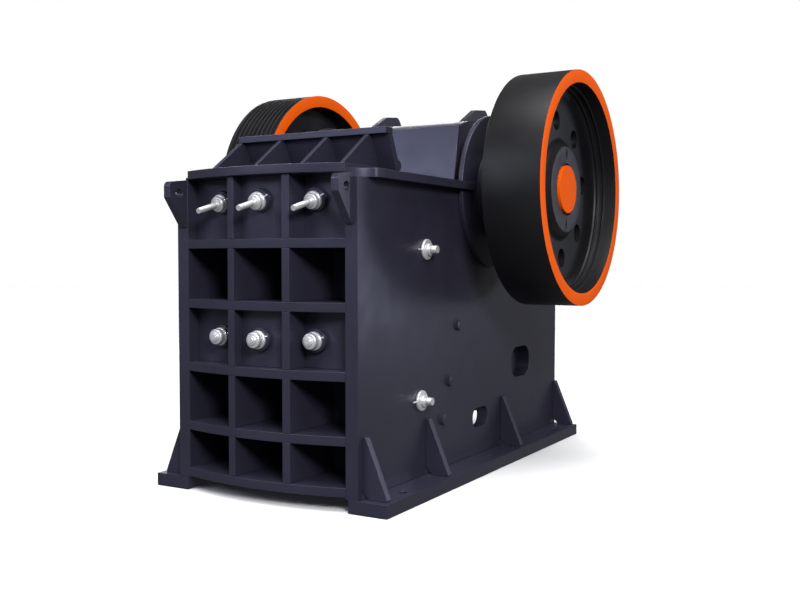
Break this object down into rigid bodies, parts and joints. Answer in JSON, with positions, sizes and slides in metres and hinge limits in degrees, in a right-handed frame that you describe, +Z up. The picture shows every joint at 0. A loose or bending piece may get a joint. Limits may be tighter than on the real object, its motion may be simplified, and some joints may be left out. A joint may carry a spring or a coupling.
{
  "type": "jaw crusher",
  "caption": "Single-toggle jaw crusher: ribbed box frame, toothed jaw plates, swing jaw on an eccentric shaft with a flywheel and a grooved belt pulley, on long anchored feet.",
  "frame": {"origin": "on the floor, at the centre of the four corner anchor holes", "axes": "+X across the machine towards the flywheel, +Y from the bowed front grid to the toggle end, +Z up"},
  "size_m": [2.086, 2.7535, 2.254],
  "materials": {
    "frame_paint": "satin dark blue-grey paint over welded plate",
    "wheel_paint": "gloss black paint over machined casting",
    "orange_enamel": "bright orange enamel",
    "bright_steel": "bright zinc-plated steel",
    "manganese_steel": "rough cast manganese steel",
    "cast_body": "satin dark blue-grey paint over casting",
    "dark_steel": "oiled dark steel"
  },
  "bodies": {
    "root": {"adjusting_shims": "frame_paint", "fixed_jaw_plate": "manganese_steel", "front_flange": "frame_paint", "front_rib_1": "frame_paint", "front_rib_2": "frame_paint", "front_rib_3": "frame_paint", "front_rib_4": "frame_paint", "front_rib_5": "frame_paint", "front_uprights": "frame_paint", "front_wall": "frame_paint", "guard_gussets": "frame_paint", "guard_plate": "frame_paint", "guard_rail": "frame_paint", "left_bearing_housing": "cast_body", "left_cheek_plate": "manganese_steel", "left_foot_gussets": "frame_paint", "left_foot_plate": "frame_paint", "left_lifting_ear": "frame_paint", "left_side_flange": "frame_paint", "left_side_plate": "frame_paint", "lower_front_panels": "frame_paint", "lower_tie_bolts": "bright_steel", "rear_ribs": "frame_paint", "rear_wall": "frame_paint", "right_bearing_housing": "cast_body", "right_cheek_plate": "manganese_steel", "right_foot_gussets": "frame_paint", "right_foot_plate": "frame_paint", "right_lifting_ear": "frame_paint", "right_side_flange": "frame_paint", "right_side_plate": "frame_paint", "side_bolts": "bright_steel", "tension_rods": "dark_steel", "tension_springs": "dark_steel", "toggle_beam": "cast_body", "toggle_plate": "cast_body", "upper_front_panels": "frame_paint", "upper_tie_bolts": "bright_steel"},
    "rotor": {"eccentric_shaft": "orange_enamel", "flywheel": "wheel_paint", "pulley": "wheel_paint"},
    "jaw": {"jaw_head_shield": "frame_paint", "jaw_lugs": "frame_paint", "swing_jaw": "cast_body", "swing_jaw_plate": "manganese_steel"}
  },
  "joints": [
    {"name": "rotor_spin", "type": "hinge", "parent": "root", "child": "rotor", "pos_m": [0, 0.206, 1.594], "axis": [1, 0, 0], "continuous": true},
    {"name": "jaw_swing", "type": "hinge", "parent": "root", "child": "jaw", "pos_m": [0, 0.206, 1.594], "axis": [1, 0, 0], "range_deg": [-1, 0]}
  ]
}
